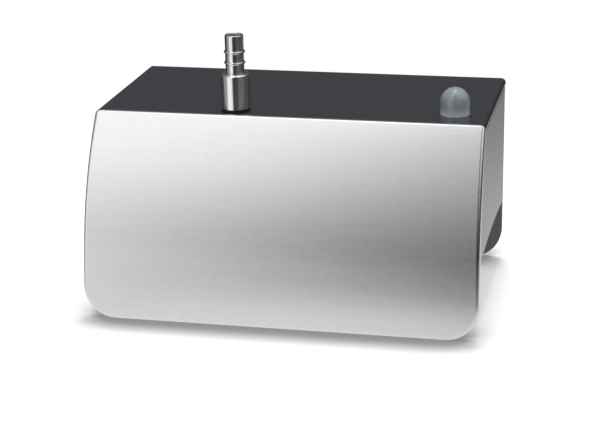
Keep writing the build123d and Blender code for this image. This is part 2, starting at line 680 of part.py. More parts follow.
def collection_mirror():
    """Dished mirror that gathers the scattered light."""
    disc = rod((INLET_X, block_front, beam_z), BACK, MIRROR_RADIUS, MIRROR_THICKNESS)
    dish_radius = (MIRROR_RADIUS**2 + MIRROR_DEPTH**2) / (2 * MIRROR_DEPTH)
    dish_y = block_front + MIRROR_THICKNESS - MIRROR_DEPTH + dish_radius
    return disc - Pos(INLET_X, dish_y, beam_z) * Sphere(dish_radius)


def photodiode():
    """Detector in the rear bore of the block."""
    return rod((INLET_X, block_rear, beam_z), FRONT, SENSOR_RADIUS, SENSOR)


def detector_board():
    """Amplifier board on the block's rear face."""
    x_limits = INLET_X - DETECTOR_HALF, INLET_X + DETECTOR_HALF
    z_limits = max(block_low, beam_z - DETECTOR_HALF), beam_z + DETECTOR_HALF
    return slab(x_limits, (block_rear, block_rear + SMALL_BOARD), z_limits)


def detector_shield():
    """Thin screening can over the amplifier."""
    near = block_rear + SMALL_BOARD
    far = near + SHIELD_DEPTH
    can, room = (
        slab((INLET_X - half, INLET_X + half), (near, end), (beam_z - half, beam_z + half))
        for half, end in ((SHIELD_HALF, far), (SHIELD_HALF - SHIELD_SHEET, far - SHIELD_SHEET))
    )
    return can - room


# ---- Boards and sockets
def main_board():
    """Processor board above the sockets."""
    board = slab((board_left, board_right), (board_front, board_rear), (board_low, board_top))
    for x, y in board_places:
        board -= rod((x, y, board_low), UP, hole_radius, BOARD)
    return board


def board_standoffs():
    """Hexagonal standoffs between floor and board, threaded through."""
    spacers = []
    for x, y in board_places:
        spacer = hex_bar((x, y, floor_top), UP, STANDOFF_FLATS, board_low - floor_top)
        spacers.append(spacer - rod((x, y, floor_top), UP, hole_radius, board_low - floor_top))
    return Compound(children=spacers)


def board_screws():
    """Screws from above through the board."""
    grip = BOARD + BOARD_BITE
    return Compound(children=[pan_screw((x, y, board_top), DOWN, grip) for x, y in board_places])


def board_chips():
    """Packaged circuits on the board."""
    chips = []
    for across, along, width, depth in CHIPS:
        x, y = board_middle[0] + across, board_middle[1] + along
        chip = Pos(x, y, board_top) * Box(width, depth, CHIP_HEIGHT, align=FROM_BASE)
        chips.append(chamfer(chip.edges().group_by(Axis.Z)[-1], CHIP_BEVEL))
    return Compound(children=chips)


def board_capacitors():
    """Round capacitor cans on the board."""
    cans = []
    for across, along in CANS:
        x, y = board_middle[0] + across, board_middle[1] + along
        can = rod((x, y, board_top), UP, CAN_RADIUS, CAN_HEIGHT)
        cans.append(fillet(can.edges().group_by(Axis.Z)[-1], CAN_CROWN))
    return Compound(children=cans)


def modular_jack(x, size, mouth, latch):
    """Socket that faces down through the floor, with its latch slot towards the rear."""
    low = FLOOR_UNDERSIDE - JACK_PROUD
    body = jack_prism(x, size, low, board_low)
    body -= jack_prism(x, mouth[:2], low, low + mouth[2])
    latch_far = jack_y + mouth[1] / 2 + LATCH_DEPTH
    body -= slab((x - latch / 2, x + latch / 2), (jack_y, latch_far), (low, low + mouth[2]))
    return body


def jack_contacts():
    """Spring contacts that lie along the front wall of each socket's mouth."""
    contacts = []
    low = FLOOR_UNDERSIDE - JACK_PROUD
    network = network_x, NETWORK_MOUTH, NETWORK_CONTACTS
    service = service_x, SERVICE_MOUTH, SERVICE_CONTACTS
    for x, mouth, count in (network, service):
        wall = jack_y - mouth[1] / 2
        high = low + mouth[2]
        for i in range(count):
            centre = x + (i - (count - 1) / 2) * CONTACT_PITCH
            limits = centre - CONTACT / 2, centre + CONTACT / 2
            contacts.append(slab(limits, (wall, wall + CONTACT), (high - CONTACT_RUN, high)))
    return Compound(children=contacts)


# ---- One file for each piece
pieces = {
    "front_visor": front_visor(),
    "visor_pad": visor_pad(),
    "visor_nuts": visor_nuts(),
    "housing": housing(),
    "top_cover": top_cover(),
    "cover_gasket": cover_gasket(),
    "cover_posts": cover_posts(),
    "floor_screws": floor_screws(),
    "rear_plate": rear_plate(),
    "plate_screws": plate_screws(),
    "inlet_barb": inlet_barb(),
    "inlet_oring": seal_ring(INLET_X, inlet_y, HEIGHT, UP, COLLAR_RADIUS),
    "vacuum_barb": vacuum_barb(),
    "vacuum_oring": seal_ring(INLET_X, inlet_y, FLOOR_UNDERSIDE, DOWN, VACUUM_COLLAR_RADIUS),
    "vacuum_nut": vacuum_nut(),
    "outlet_nozzle": outlet_nozzle(),
    "outlet_sleeve": outlet_sleeve(),
    "status_dome": status_dome(),
    "dome_retainer": dome_retainer(),
    "led_board": led_board(),
    "status_led": status_led(),
    "optics_block": optics_block(),
    "optics_posts": optics_posts(),
    "laser_tube": laser_tube(),
    "laser_diode": laser_diode(),
    "focus_lens": focus_lens(),
    "laser_board": laser_board(),
    "beam_stop": beam_stop(),
    "collection_mirror": collection_mirror(),
    "photodiode": photodiode(),
    "detector_board": detector_board(),
    "detector_shield": detector_shield(),
    "main_board": main_board(),
    "board_standoffs": board_standoffs(),
    "board_screws": board_screws(),
    "board_chips": board_chips(),
    "board_capacitors": board_capacitors(),
    "network_jack": modular_jack(network_x, NETWORK_JACK, NETWORK_MOUTH, NETWORK_LATCH),
    "service_jack": modular_jack(service_x, SERVICE_JACK, SERVICE_MOUTH, SERVICE_LATCH),
    "jack_contacts": jack_contacts(),
}

os.makedirs("parts", exist_ok=True)
for name, piece in pieces.items():
    export_step(piece, f"parts/{name}.step")
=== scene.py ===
import json
import math

import bmesh
import bpy
from mathutils import Matrix, Vector


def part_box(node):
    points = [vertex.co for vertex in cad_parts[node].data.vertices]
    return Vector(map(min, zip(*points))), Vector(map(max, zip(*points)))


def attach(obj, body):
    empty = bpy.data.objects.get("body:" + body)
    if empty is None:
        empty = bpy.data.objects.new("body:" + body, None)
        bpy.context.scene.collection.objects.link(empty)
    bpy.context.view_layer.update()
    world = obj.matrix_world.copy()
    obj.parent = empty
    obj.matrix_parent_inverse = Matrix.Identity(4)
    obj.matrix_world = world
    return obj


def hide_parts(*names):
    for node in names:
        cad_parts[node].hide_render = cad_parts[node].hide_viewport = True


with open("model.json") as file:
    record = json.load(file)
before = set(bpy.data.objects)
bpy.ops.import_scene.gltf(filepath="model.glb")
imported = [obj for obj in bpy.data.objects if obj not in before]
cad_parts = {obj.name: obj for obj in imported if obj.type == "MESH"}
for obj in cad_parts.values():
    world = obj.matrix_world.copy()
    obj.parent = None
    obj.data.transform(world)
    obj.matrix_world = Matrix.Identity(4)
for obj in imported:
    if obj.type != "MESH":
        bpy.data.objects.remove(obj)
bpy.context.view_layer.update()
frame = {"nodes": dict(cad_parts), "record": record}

MM = 0.001
WELD = 1.0e-6  # corners nearer than this are one
SHARP_ANGLE = 32  # edges steeper than this stay crisp, degrees
BORE_RADIUS = 2.2 * MM
BORE_MARGIN = 0.1 * MM
PAINTED_GLOW_REACH = 3.0 * MM  # how far up the dome the painted light at its foot reaches

# ---- Screws and wires
SCREW_SIDES = 28
SCREW_ROWS = 90
HEAD_ROWS = 10  # how many of them make the head
CROWN_ROWS = 6  # and its rounded top
PAN_TURN = 20  # degrees
SHANK = {"Shank Radius": 1.4 * MM, "Thread Pitch": 0.7 * MM, "Thread Depth": 0.22 * MM}
RECESS = {"Recess Length": 2.9 * MM, "Recess Width": 0.7 * MM, "Recess Depth": 0.9 * MM}
PAN_HEAD = {"Head Radius": 2.8 * MM, "Head Height": 1.8 * MM, "Head Crown": 0.9 * MM, "Sunk": 0.0}
SUNK_HEAD = {"Head Radius": 2.8 * MM, "Head Height": 1.4 * MM, "Head Crown": 0.0, "Sunk": 1.0}
WIRE_POINTS = 16
WIRE_BOW = 0.5 * MM

# ---- Camera, in the part's frame
CAMERA_PLACE = (0.12104, -0.52757, 0.21221)
CAMERA_AZIMUTH = 12.97  # degrees to the right of straight ahead
CAMERA_ELEVATION = 19.14
CAMERA_ROLL = -1.25
CAMERA_LENS = 102.52
SENSOR = 36.0

# ---- Light
AMBIENT = 0.56  # the even level of the world for matt surfaces
KEY_PLACE = (0.0, 0.42, 1.36)
KEY_SIZE = 0.30
KEY_WATTS = 11.0

# ---- Floor
FLOOR_HALF = 0.6
FLOOR_SHADE = (0.80, 0.80, 0.80)
FLOOR_LIFT = 0.42  # the white it adds for the eye, so that shadows on it stay soft
FLOOR_FADE = (0.10, 0.27)  # how far from the part it melts into the white round it
SHINE_FADE = (0.10, 0.18)  # the same for what gloss sees of it, from SHINE_CENTRE
SHINE_CENTRE = (0.02, 0.03, 0.0)
CONTACT_REACH = 0.020  # how far from the part the painted contact shadow reaches
CONTACT_RANGE = (0.60, 0.99)  # how open a point is where it is darkest and where it is clear
PAINTED_CONTACT_SHADE = 0.36  # how light the floor still is where the painted contact shadow is darkest
CONTACT_SAMPLES = 16
FLOOR_GLOW = 1.20  # what gloss sees of it, well in front of the part
FOOT_GLOW = 0.84  # the share of that near the foot, then behind the part and at its right
REAR_GLOW = 0.83
SIDE_GLOW = 0.88
FOOT_RANGE = (-0.12, -0.05)  # where each share sets in
REAR_RANGE = (-0.03, 0.06)
SIDE_RANGE = (-0.02, 0.12)

# ---- Studio as gloss sees it. Each row: from and to in degrees, then the level at both.
# Starts and ends go by azimuth, which is 0 in front of the part and grows to its right.
LEFT_BOX_START = (-62, -46, 0.0, 1.0)
LEFT_BOX_END = (-24.4, -4.4, 1.0, 0.0)
LEFT_BOX_HEIGHTS = (5, 45, 1.16, 1.27)
LEFT_BOX_SLANT = 0.076  # how far its end leans right with height
SLANT_TOP = 60  # the height in degrees where that lean stops
LEFT_CARD_START = (-98, -90, 0.0, 1.0)
LEFT_CARD_END = (-56, -46, 0.35, 0.0)
OVERHEAD_HEIGHTS = (-16.9, 38.7, 0.0, 0.175)
TOP_BOX_HEIGHTS = (60, 74, 0.0, 1.4)
TOP_BOX_END = (-12, 8, 1.0, 0.4)
RIGHT_BOX_START = (25, 55, 0.0, 1.0)
RIGHT_BOX_END = (105, 140, 1.0, 0.0)
RIGHT_BOX_HEIGHTS = (0, 50, 0.0, 0.9)
STRIPE_START = (-56, -46, 0.0, 1.0)
STRIPE_END = (-11, -7, 1.25, 0.0)
DIM_CARD_START = (-2, 10, 0.0, 0.06)
RIGHT_CARD_START = (30, 38, 0.0, 0.17)
RIGHT_CARD_END = (78, 86, 1.0, 0.0)
BACK_CARD_START = (100, 125, 0.0, 0.50)
LOWER_LEVEL = 0.06  # all round, below HORIZON
HORIZON = (-17, -11, 0.0, 1.0)

# ---- Shades, linear
STEEL = (0.702, 0.700, 0.705)
ALUMINIUM = (0.412, 0.428, 0.427)
TURNED_STEEL = (0.70, 0.70, 0.69)
CHARCOAL = (0.0295, 0.0325, 0.0395)
PLATE_CHARCOAL = (0.068, 0.068, 0.062)
DOME_MILK = ((0.375, 0.435, 0.48), (0.415, 0.475, 0.52))
# painted light: the near-white colour at the dome's foot
DOME_PAINTED_GLOW = (0.93, 0.975, 1.0)
BOARD_MASK = (0.010, 0.085, 0.035)
BOARD_TRACK = (0.022, 0.16, 0.065)
NOISE_RANGE = (0.35, 0.65)  # where most of a noise lies
WHITE = (1.0, 1.0, 1.0)
BLACK = (0.0, 0.0, 0.0)


# ---- Node helpers
class Signal:
    """A node's output. Arithmetic on it adds Math nodes to the same tree."""

    def __init__(self, tree, socket):
        self.tree = tree
        self.socket = socket

    def math(self, operation, *values):
        return add_node(self.tree, "ShaderNodeMath", {"operation": operation}, dict(enumerate(values)))

    def __add__(self, other):
        return self.math("ADD", self, other)

    def __sub__(self, other):
        return self.math("SUBTRACT", self, other)

    def __mul__(self, other):
        return self.math("MULTIPLY", self, other)

    def __truediv__(self, other):
        return self.math("DIVIDE", self, other)

    def __rsub__(self, other):
        return self.math("SUBTRACT", other, self)

    __radd__ = __add__
    __rmul__ = __mul__

    def smooth(self, low, high, at_low=0.0, at_high=1.0):
        """A smooth step between two limits."""
        inputs = {"Value": self, "From Min": low, "From Max": high, "To Min": at_low, "To Max": at_high}
        return add_node(self.tree, "ShaderNodeMapRange", {"interpolation_type": "SMOOTHSTEP"}, inputs)

    def linear(self, low, high, at_low=0.0, at_high=1.0):
        """A straight ramp between two limits, held at its ends."""
        inputs = {"Value": self, "From Min": low, "From Max": high, "To Min": at_low, "To Max": at_high}
        return add_node(self.tree, "ShaderNodeMapRange", {}, inputs)


def add_node(tree, kind, settings=None, inputs=None, output=0):
    """Adds a node: its settings first, then values or links on its sockets. Gives one output."""
    node = tree.nodes.new(kind)
    for name, value in (settings or {}).items():
        setattr(node, name, value)
    for name, value in (inputs or {}).items():
        if isinstance(value, Signal):
            tree.links.new(value.socket, node.inputs[name])
        elif isinstance(value, tuple) and node.inputs[name].type == "RGBA":
            node.inputs[name].default_value = (*value, 1.0)
        else:
            node.inputs[name].default_value = value
    return Signal(tree, node.outputs[output]) if len(node.outputs) else None


def mix(tree, factor, first, second):
    """A blend of two colours."""
    settings = {"data_type": "RGBA"}
    return add_node(tree, "ShaderNodeMix", settings, {0: factor, 6: first, 7: second}, output=2)


def axes(tree, vector):
    """The three parts of a vector."""
    return [add_node(tree, "ShaderNodeSeparateXYZ", {}, {0: vector}, output=i) for i in range(3)]


def length_of(tree, vector):
    """The length of a vector."""
    return add_node(tree, "ShaderNodeVectorMath", {"operation": "LENGTH"}, {0: vector}, output="Value")


def object_place(tree):
    """Object coordinates, which are the part's own."""
    return add_node(tree, "ShaderNodeTexCoord", output="Object")


def ray_kinds(tree):
    """1 where the eye looks, and 1 where gloss or something clear looks."""
    path = tree.nodes.new("ShaderNodeLightPath")
    camera_ray = Signal(tree, path.outputs["Is Camera Ray"])
    glossy_ray = Signal(tree, path.outputs["Is Glossy Ray"])
    clear_ray = Signal(tree, path.outputs["Is Transmission Ray"])
    return camera_ray, glossy_ray.math("MAXIMUM", glossy_ray, clear_ray)


def scaled(shade, factor):
    """A darker or lighter shade."""
    return tuple(factor * channel for channel in shade)


def new_material(name):
    """An empty node material and its tree."""
    material = bpy.data.materials.new(name)
    material.use_nodes = True
    material.node_tree.nodes.clear()
    return material, material.node_tree


def coordinates(tree, stretch=(1, 1, 1)):
    """Object coordinates, stretched along each axis."""
    return add_node(tree, "ShaderNodeMapping", {}, {"Vector": object_place(tree), "Scale": stretch})


def noise(tree, place, scale, detail=2.0, roughness=0.5):
    """Noise from 0 to 1."""
    inputs = {"Vector": place, "Scale": scale, "Detail": detail, "Roughness": roughness}
    return add_node(tree, "ShaderNodeTexNoise", {}, inputs, output="Fac")


def bump(tree, height, depth, strength=1.0):
    """A normal from a height between 0 and 1, by its depth in metres."""
    return add_node(tree, "ShaderNodeBump", {}, {"Height": height, "Distance": depth, "Strength": strength})


def surface(tree, **sockets):
    """The shader and the output of a material. Underscores in a name stand for spaces."""
    inputs = {name.replace("_", " "): value for name, value in sockets.items()}
    shader = add_node(tree, "ShaderNodeBsdfPrincipled", {}, inputs, output="BSDF")
    add_node(tree, "ShaderNodeOutputMaterial", {}, {"Surface": shader})


# ---- Finishes
def brushed(name, shade, grain, rough=0.25, depth=5.0e-8, mottle=520.0, streak_share=0.55):
    """Brushed metal: fine streaks along one axis and a very soft mottle."""
    material, tree = new_material(name)
    streaks = noise(tree, coordinates(tree, grain), 1.0, 3.0, 0.6)
    patches = noise(tree, coordinates(tree), mottle, 2.0)
    tone = streak_share * streaks + (1.0 - streak_share) * patches
    surface(
        tree,
        Base_Color=mix(tree, tone.linear(*NOISE_RANGE), scaled(shade, 0.965), scaled(shade, 1.01)),
        Metallic=1.0,
        Roughness=rough - 0.015 + 0.03 * streaks + 0.02 * patches,
        Normal=bump(tree, streaks, depth),
    )
    return material


def turned(name, shade, axis, bore_radius, rough=0.12, drilled_rough=0.45, depth=6.0e-7):
    """Turned metal: fine rings round the upright axis, and a duller drilled bore."""
    material, tree = new_material(name)
    rings = noise(tree, coordinates(tree, (60, 60, 9000)), 1.0, 2.0)
    place = object_place(tree)
    offset = add_node(tree, "ShaderNodeVectorMath", {"operation": "SUBTRACT"}, {0: place, 1: axis})
    flat = add_node(tree, "ShaderNodeVectorMath", {"operation": "MULTIPLY"}, {0: offset, 1: (1.0, 1.0, 0.0)})
    radius = length_of(tree, flat)
    drilled = radius.math("LESS_THAN", radius, bore_radius)
    surface(
        tree,
        Base_Color=mix(tree, rings, scaled(shade, 0.92), shade),
        Metallic=1.0,
        Roughness=rough + 0.06 * rings + drilled_rough * drilled,
        Normal=bump(tree, rings, depth),
    )
    return material


def coated(name, shade, rough=0.42, specular=0.3, depth=6.0e-6, fine=4200.0, coarse=22.0):
    """Satin coating with a fine grain and faint cool and warm patches."""
    material, tree = new_material(name)
    grain = noise(tree, coordinates(tree), fine, 2.0)
    patches = noise(tree, coordinates(tree), coarse, 2.0)
    cool = (shade[0] * 0.95, shade[1], shade[2] * 1.06)
    warm = (shade[0] * 1.04, shade[1], shade[2] * 0.95)
    surface(
        tree,
        Base_Color=mix(tree, patches.linear(*NOISE_RANGE), warm, cool),
        Roughness=rough - 0.04 + 0.08 * grain,
        Normal=bump(tree, grain, depth, 0.5),
        Specular_IOR_Level=specular,
    )
    return material


def moulded(name, shade, rough=0.5, scale=2600.0, depth=8.0e-6):
    """Moulded plastic or rubber with a fine texture."""
    material, tree = new_material(name)
    texture = noise(tree, coordinates(tree), scale, 2.0)
    surface(
        tree,
        Base_Color=mix(tree, texture, scaled(shade, 0.85), scaled(shade, 1.15)),
        Roughness=rough - 0.05 + 0.1 * texture,
        Normal=bump(tree, texture, depth, 0.5),
    )
    return material


def plated(name, shade, rough=0.22, scale=700.0, depth=2.0e-6):
    """Plated or machined metal with a faint stain."""
    material, tree = new_material(name)
    stain = noise(tree, coordinates(tree), scale, 3.0)
    surface(
        tree,
        Base_Color=mix(tree, stain, scaled(shade, 0.86), shade),
        Metallic=1.0,
        Roughness=rough + 0.12 * stain,
        Normal=bump(tree, stain, depth),
    )
    return material


def frosted(name, foot, scale=320.0, depth=1.0e-6):
    """Milky translucent plastic of the dome, glossy outside, with painted light that turns it near white at
    its foot.
    """
    material, tree = new_material(name)
    haze = noise(tree, coordinates(tree), scale, 2.0)
    height = axes(tree, object_place(tree))[2]
    milk = mix(tree, haze, *DOME_MILK)
    surface(
        tree,
        # painted light: the dome's colour turns near white towards its foot
        Base_Color=mix(tree, height.smooth(foot, foot + PAINTED_GLOW_REACH), DOME_PAINTED_GLOW, milk),
        Roughness=0.22 + 0.06 * haze,
        Transmission_Weight=0.28,
        IOR=1.45,
        Coat_Weight=0.5,
        Coat_Roughness=0.03,
        Normal=bump(tree, haze, depth, 0.5),
    )
    return material


def clear(name, shade, rough=0.05, scale=500.0):
    """Clear glass or plastic."""
    material, tree = new_material(name)
    haze = noise(tree, coordinates(tree), scale)
    surface(
        tree,
        Base_Color=mix(tree, haze, shade, scaled(shade, 0.95)),
        Roughness=rough + 0.03 * haze,
        Transmission_Weight=0.9,
        IOR=1.5,
    )
    return material


def laminate(name, scale=420.0, track=0.06, depth=1.5e-5):
    """Circuit board: solder mask over straight tracks."""
    material, tree = new_material(name)
    inputs = {"Vector": coordinates(tree), "Scale": scale, "Mortar Size": track}
    inputs.update({"Color1": BLACK, "Color2": BLACK, "Mortar": WHITE})
    tracks = add_node(tree, "ShaderNodeTexBrick", {"offset": 0.5}, inputs, output="Fac")
    surface(
        tree,
        Base_Color=mix(tree, tracks, BOARD_MASK, BOARD_TRACK),
        Roughness=0.34 + 0.1 * tracks,
        Normal=bump(tree, tracks, depth),
    )
    return material


barb_low, barb_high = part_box("inlet_barb")
barb_axis = tuple((low + high) / 2 for low, high in zip(barb_low, barb_high))
cover_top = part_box("top_cover")[1][2]
finishes = {
    "brushed_stainless": brushed("brushed_stainless", STEEL, (22, 1500, 1500)),
    "brushed_housing": brushed("brushed_housing", ALUMINIUM, (4200, 30, 4200), rough=0.34),
    "dark_coating": coated("dark_coating", CHARCOAL, rough=0.16, specular=0.55),
    "dark_plate": coated("dark_plate", PLATE_CHARCOAL, rough=0.36, specular=1.0),
    "dark_fastener": plated("dark_fastener", (0.06, 0.06, 0.06), 0.35),
    "zinc_fastener": plated("zinc_fastener", (0.62, 0.62, 0.60)),
    "turned_stainless": turned("turned_stainless", TURNED_STEEL, barb_axis, BORE_RADIUS + BORE_MARGIN),
    "black_foam": moulded("black_foam", (0.018, 0.018, 0.018), 0.9, 1500.0),
    "black_rubber": moulded("black_rubber", (0.02, 0.02, 0.02), 0.55),
    "frosted_dome": frosted("frosted_dome", cover_top),
    "clear_sleeve": moulded("clear_sleeve", (0.6, 0.6, 0.58), 0.35),
    "clear_lens": clear("clear_lens", (0.95, 0.96, 0.97)),
    "black_anodised": coated("black_anodised", (0.022, 0.022, 0.024), 0.45),
    "black_plastic": moulded("black_plastic", (0.022, 0.022, 0.022), 0.42),
    "circuit_board": laminate("circuit_board"),
    "brass": plated("brass", (0.72, 0.53, 0.24), 0.2),
    "gold_contact": plated("gold_contact", (0.85, 0.62, 0.28), 0.15),
    "mirror_coat": plated("mirror_coat", (0.90, 0.90, 0.90), 0.03),
    "tinned_sheet": plated("tinned_sheet", (0.66, 0.66, 0.65), 0.3),
}
slots = {row["node"]: row["material_slot"] for row in frame["record"]["subparts"]}
for node_name, node_object in frame["nodes"].items():
    node_object.data.materials.clear()
    node_object.data.materials.append(finishes[slots[node_name]])


# ---- Repeated pieces
def loose_boxes(node):
    """The lowest and highest corners of each separate solid in a CAD node."""
    mesh = bmesh.new()
    mesh.from_mesh(frame["nodes"][node].data)
    bmesh.ops.remove_doubles(mesh, verts=mesh.verts, dist=WELD)
    left = set(mesh.verts)
    boxes = []
    while left:
        found = [left.pop()]
        for vertex in found:
            near = {edge.other_vert(vertex) for edge in vertex.link_edges} & left
            left -= near
            found.extend(near)
        corners = [[limit(vertex.co[i] for vertex in found) for i in range(3)] for limit in (min, max)]
        boxes.append([Vector(corner) for corner in corners])
    mesh.free()
    return sorted(boxes, key=lambda corners: [round(value, 5) for value in corners[0]])


def pattern_tree(name, sizes):
    """A geometry tree with named inputs. Gives the tree, its inputs as signals and their identifiers."""
    tree = bpy.data.node_groups.new(name, "GeometryNodeTree")
    kinds = {"Points": "NodeSocketGeometry", "Finish": "NodeSocketMaterial", "Turn": "NodeSocketVector"}
    identifiers = {}
    for title in ("Points", *sizes, "Turn", "Finish"):
        kind = kinds.get(title, "NodeSocketFloat")
        identifiers[title] = tree.interface.new_socket(title, in_out="INPUT", socket_type=kind).identifier
    tree.interface.new_socket("Geometry", in_out="OUTPUT", socket_type="NodeSocketGeometry")
    entry = tree.nodes.new("NodeGroupInput")
    signals = {title: Signal(tree, entry.outputs[title]) for title in identifiers}
    return tree, signals, identifiers


def close_pattern(tree, signals, shape):
    """Shades a shape, sets it on every point and ends the tree."""
    smooth = add_node(tree, "GeometryNodeSetShadeSmooth", {"domain": "FACE"}, {"Geometry": shape})
    angle = add_node(tree, "GeometryNodeInputMeshEdgeAngle", output="Unsigned Angle")
    sharp = add_node(
        tree,
        "FunctionNodeCompare",
        {"data_type": "FLOAT", "operation": "GREATER_THAN"},
        {0: angle, 1: math.radians(SHARP_ANGLE)},
    )
    creased = add_node(
        tree,
        "GeometryNodeSetShadeSmooth",
        {"domain": "EDGE"},
        {"Geometry": smooth, "Selection": sharp, "Shade Smooth": False},
    )
    turn = add_node(tree, "FunctionNodeEulerToRotation", {}, {0: signals["Turn"]})
    inputs = {"Points": signals["Points"], "Instance": creased, "Rotation": turn}
    copies = add_node(tree, "GeometryNodeInstanceOnPoints", {}, inputs)
    real = add_node(tree, "GeometryNodeRealizeInstances", {}, {"Geometry": copies})
    painted = add_node(tree, "GeometryNodeSetMaterial", {}, {"Geometry": real, "Material": signals["Finish"]})
    add_node(tree, "NodeGroupOutput", {}, {"Geometry": painted})


def screw_tree():
    """Screws with a pan or countersunk head, a cross recess and a thread. The shank points along +Z."""
    sizes = ("Head Radius", "Head Height", "Head Crown", "Sunk", "Shank Radius", "Length")
    sizes += ("Thread Pitch", "Thread Depth", "Recess Length", "Recess Width", "Recess Depth")
    tree, size, identifiers = pattern_tree("screws", sizes)
    body = add_node(
        tree,
        "GeometryNodeMeshCylinder",
        {"fill_type": "NGON"},
        {"Vertices": SCREW_SIDES, "Side Segments": SCREW_ROWS, "Radius": 1.0, "Depth": 1.0},
        output="Mesh",
    )
    place = add_node(tree, "GeometryNodeInputPosition")
    x, y, z = axes(tree, place)
    row = (z + 0.5) * SCREW_ROWS
    crown = row.linear(0, CROWN_ROWS, 0.0, math.pi / 2)
    side = row.linear(CROWN_ROWS, HEAD_ROWS)
    cone = row.linear(0, HEAD_ROWS)
    along = row.linear(HEAD_ROWS + 1, SCREW_ROWS)
    on_shank = row.math("GREATER_THAN", row, HEAD_ROWS + 0.5)
    pan_radius = size["Head Radius"] - size["Head Crown"] * (1.0 - crown.math("SINE", crown))
    pan_z = size["Head Crown"] * (1.0 - crown.math("COSINE", crown)) - size["Head Height"]
    pan_z = pan_z + side * (size["Head Height"] - size["Head Crown"])
    sunk_radius = size["Head Radius"] - cone * (size["Head Radius"] - size["Shank Radius"])
    sunk_z = cone * size["Head Height"]
    head_radius = pan_radius + size["Sunk"] * (sunk_radius - pan_radius)
    head_z = pan_z + size["Sunk"] * (sunk_z - pan_z)
    seat = size["Sunk"] * size["Head Height"]
    shank_z = seat + along * (size["Length"] - seat)
    phase = shank_z / size["Thread Pitch"] + x.math("ARCTAN2", y, x) / (2 * math.pi)
    ridge = phase.math("ABSOLUTE", phase.math("FRACT", phase) - 0.5)
    shank_radius = size["Shank Radius"] - size["Thread Depth"] * (1.0 - 2.0 * ridge)
    radius = head_radius + on_shank * (shank_radius - head_radius)
    height = head_z + on_shank * (shank_z - head_z)
    new_place = add_node(tree, "ShaderNodeCombineXYZ", {}, {0: x * radius, 1: y * radius, 2: height})
    body = add_node(tree, "GeometryNodeSetPosition", {}, {"Geometry": body, "Position": new_place})
    top = (size["Sunk"] - 1.0) * size["Head Height"]
    for width, length in (("Recess Length", "Recess Width"), ("Recess Width", "Recess Length")):
        inputs = {0: size[width], 1: size[length], 2: 2.0 * size["Recess Depth"]}
        box = add_node(tree, "ShaderNodeCombineXYZ", {}, inputs)
        arm = add_node(tree, "GeometryNodeMeshCube", {}, {"Size": box}, output="Mesh")
        lift = add_node(tree, "ShaderNodeCombineXYZ", {}, {2: top})
        arm = add_node(tree, "GeometryNodeTransform", {}, {"Geometry": arm, "Translation": lift})
        settings = {"operation": "DIFFERENCE", "solver": "EXACT"}
        body = add_node(tree, "GeometryNodeMeshBoolean", settings, {"Mesh 1": body, "Mesh 2": arm})
    close_pattern(tree, size, body)
    return tree, identifiers


def contact_tree():
    """Bowed spring wires with a square section that run up along +Z."""
    tree, size, identifiers = pattern_tree("contacts", ("Wire", "Run", "Bow"))
    end = add_node(tree, "ShaderNodeCombineXYZ", {}, {2: size["Run"]})
    line = add_node(tree, "GeometryNodeCurvePrimitiveLine", {}, {"End": end})
    line = add_node(tree, "GeometryNodeResampleCurve", {}, {"Curve": line, "Count": WIRE_POINTS})
    along = add_node(tree, "GeometryNodeSplineParameter", output="Factor")
    bow = along.math("SINE", along * math.pi) * size["Bow"]
    shift = add_node(tree, "ShaderNodeCombineXYZ", {}, {1: bow})
    line = add_node(tree, "GeometryNodeSetPosition", {}, {"Geometry": line, "Offset": shift})
    inputs = {"Width": size["Wire"], "Height": size["Wire"]}
    section = add_node(tree, "GeometryNodeCurvePrimitiveQuadrilateral", {}, inputs)
    inputs = {"Curve": line, "Profile Curve": section, "Fill Caps": True}
    wire = add_node(tree, "GeometryNodeCurveToMesh", {}, inputs)
    close_pattern(tree, size, wire)
    return tree, identifiers


def grown(pattern, places, values):
    """A plain mesh of one pattern on a list of points."""
    tree, identifiers = pattern
    seed = bpy.data.meshes.new("places")
    seed.from_pydata([tuple(place) for place in places], [], [])
    holder = bpy.data.objects.new("places", seed)
    bpy.context.scene.collection.objects.link(holder)
    modifier = holder.modifiers.new("pattern", "NODES")
    modifier.node_group = tree
    for title, value in values.items():
        modifier[identifiers[title]] = value
    evaluated = holder.evaluated_get(bpy.context.evaluated_depsgraph_get())
    mesh = bpy.data.meshes.new_from_object(evaluated)
    bpy.data.objects.remove(holder)
    return mesh


def add_piece(name, meshes, node):
    """One piece from several meshes, in the place of a CAD node."""
    whole = bmesh.new()
    for mesh in meshes:
        whole.from_mesh(mesh)
    mesh = bpy.data.meshes.new(name)
    whole.to_mesh(mesh)
    whole.free()
    mesh.materials.append(finishes[slots[node]])
    piece = bpy.data.objects.new(name, mesh)
    bpy.context.scene.collection.objects.link(piece)
    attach(piece, "root")
    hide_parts(node)
    return piece


def middle(corners, axis):
    """Half-way between two corners along an axis."""
    return (corners[0][axis] + corners[1][axis]) / 2


def add_screws():
    """Floor screws and plate screws, with their recesses and threads."""
    pattern = screw_tree()
    head_height = PAN_HEAD["Head Height"]
    groups = {}
    for corners in loose_boxes("floor_screws"):
        length = round(corners[1].z - corners[0].z, 5) - head_height
        place = (middle(corners, 0), middle(corners, 1), corners[0].z + head_height)
        groups.setdefault(length, []).append(place)
    values = {**SHANK, **RECESS, **PAN_HEAD}
    values.update({"Turn": (0, 0, math.radians(PAN_TURN)), "Finish": finishes["zinc_fastener"]})
    meshes = []
    for length, places in sorted(groups.items()):
        meshes.append(grown(pattern, places, {**values, "Length": length}))
    add_piece("floor_screw_set", meshes, "floor_screws")
    boxes = loose_boxes("plate_screws")
    places = [(middle(corners, 0), corners[1].y, middle(corners, 2)) for corners in boxes]
    values = {**SHANK, **RECESS, **SUNK_HEAD, "Length": boxes[0][1].y - boxes[0][0].y}
    values.update({"Turn": (math.radians(90), 0, 0), "Finish": finishes["dark_fastener"]})
    add_piece("plate_screw_set", [grown(pattern, places, values)], "plate_screws")


